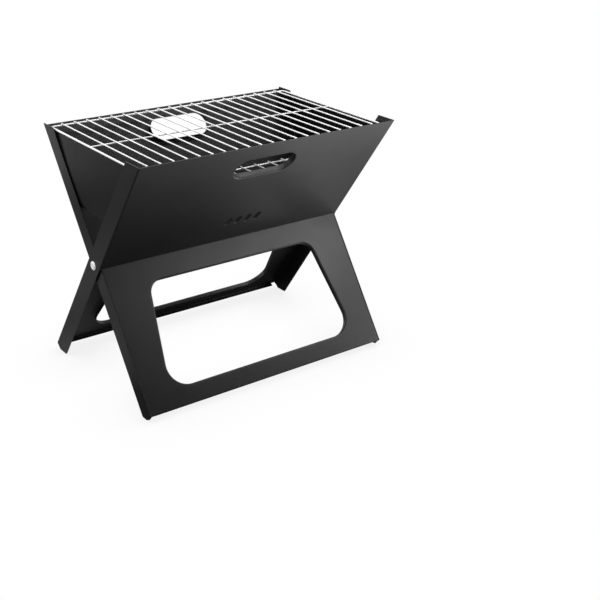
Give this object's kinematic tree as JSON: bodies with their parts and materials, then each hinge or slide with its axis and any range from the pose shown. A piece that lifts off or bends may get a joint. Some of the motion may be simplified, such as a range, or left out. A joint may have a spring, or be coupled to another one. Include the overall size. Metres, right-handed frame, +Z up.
{
  "type": "folding camp grill",
  "caption": "Flat-folding charcoal camp grill: two pivoted sheet steel frames open into an X, with end plates, a charcoal grate and a wire cooking grate in the V-shaped trough.",
  "frame": {"origin": "on the ground, midway between the feet, straight under the pivot axis of the two frames", "axes": "+X along the length and the pivot axis, +Y from the front wall to the rear wall, +Z up"},
  "size_m": [0.456, 0.3099, 0.3927],
  "materials": {
    "black_coat": "satin black heat-resistant coat on sheet steel",
    "grate_wire": "bright chrome plated steel wire",
    "rivet": "bright plated domed rivet",
    "washer": "zinc plated"
  },
  "bodies": {
    "front_frame": {"front_wall_panel": "black_coat", "rear_leg_panel": "black_coat", "pivot_rivet_left": "rivet", "pivot_rivet_right": "rivet", "spacer_washer_left": "washer", "spacer_washer_right": "washer", "backing_washer_left": "washer", "backing_washer_right": "washer"},
    "rear_frame": {"rear_wall_panel": "black_coat", "front_leg_panel": "black_coat"},
    "left_end_plate": {"end_plate_left": "black_coat"},
    "right_end_plate": {"end_plate_right": "black_coat"},
    "cooking_grate": {"cooking_grate_rim": "grate_wire", "cooking_grate_stay": "grate_wire", "cooking_grate_bar_01": "grate_wire", "cooking_grate_bar_02": "grate_wire", "cooking_grate_bar_03": "grate_wire", "cooking_grate_bar_04": "grate_wire", "cooking_grate_bar_05": "grate_wire", "cooking_grate_bar_06": "grate_wire", "cooking_grate_bar_07": "grate_wire", "cooking_grate_bar_08": "grate_wire", "cooking_grate_bar_09": "grate_wire", "cooking_grate_bar_10": "grate_wire", "cooking_grate_bar_11": "grate_wire", "cooking_grate_bar_12": "grate_wire", "cooking_grate_bar_13": "grate_wire", "cooking_grate_bar_14": "grate_wire", "cooking_grate_bar_15": "grate_wire", "cooking_grate_bar_16": "grate_wire", "cooking_grate_bar_17": "grate_wire", "cooking_grate_bar_18": "grate_wire", "cooking_grate_bar_19": "grate_wire", "cooking_grate_bar_20": "grate_wire"},
    "charcoal_grate": {"charcoal_grate_rim": "grate_wire", "charcoal_grate_stay": "grate_wire", "charcoal_grate_bar_01": "grate_wire", "charcoal_grate_bar_02": "grate_wire", "charcoal_grate_bar_03": "grate_wire", "charcoal_grate_bar_04": "grate_wire", "charcoal_grate_bar_05": "grate_wire", "charcoal_grate_bar_06": "grate_wire", "charcoal_grate_bar_07": "grate_wire", "charcoal_grate_bar_08": "grate_wire", "charcoal_grate_bar_09": "grate_wire", "charcoal_grate_bar_10": "grate_wire", "charcoal_grate_bar_11": "grate_wire", "charcoal_grate_bar_12": "grate_wire", "charcoal_grate_bar_13": "grate_wire", "charcoal_grate_bar_14": "grate_wire", "charcoal_grate_bar_15": "grate_wire"}
  },
  "joints": [
    {"name": "fold", "type": "hinge", "parent": "front_frame", "child": "rear_frame", "pos_m": [0, 0, 0.2013], "axis": [1, 0, 0], "range_deg": [0, 70.6]},
    {"name": "left_end_plate_lift", "type": "slide", "parent": "front_frame", "child": "left_end_plate", "axis": [0, -0.5779, 0.8161], "range_m": [0, 0.34]},
    {"name": "right_end_plate_lift", "type": "slide", "parent": "front_frame", "child": "right_end_plate", "axis": [0, -0.5779, 0.8161], "range_m": [0, 0.34]},
    {"name": "cooking_grate_lift", "type": "slide", "parent": "left_end_plate", "child": "cooking_grate", "axis": [0, 0, 1], "range_m": [0, 0.3]},
    {"name": "charcoal_grate_lift", "type": "slide", "parent": "left_end_plate", "child": "charcoal_grate", "axis": [0, 0, 1], "range_m": [0, 0.181]}
  ],
  "couplings": [
    {"joint": "left_end_plate_lift", "follows": "fold", "m_per_rad": 0.27},
    {"joint": "right_end_plate_lift", "follows": "fold", "m_per_rad": 0.27},
    {"joint": "charcoal_grate_lift", "follows": "cooking_grate_lift", "ratio": 0.6}
  ]
}
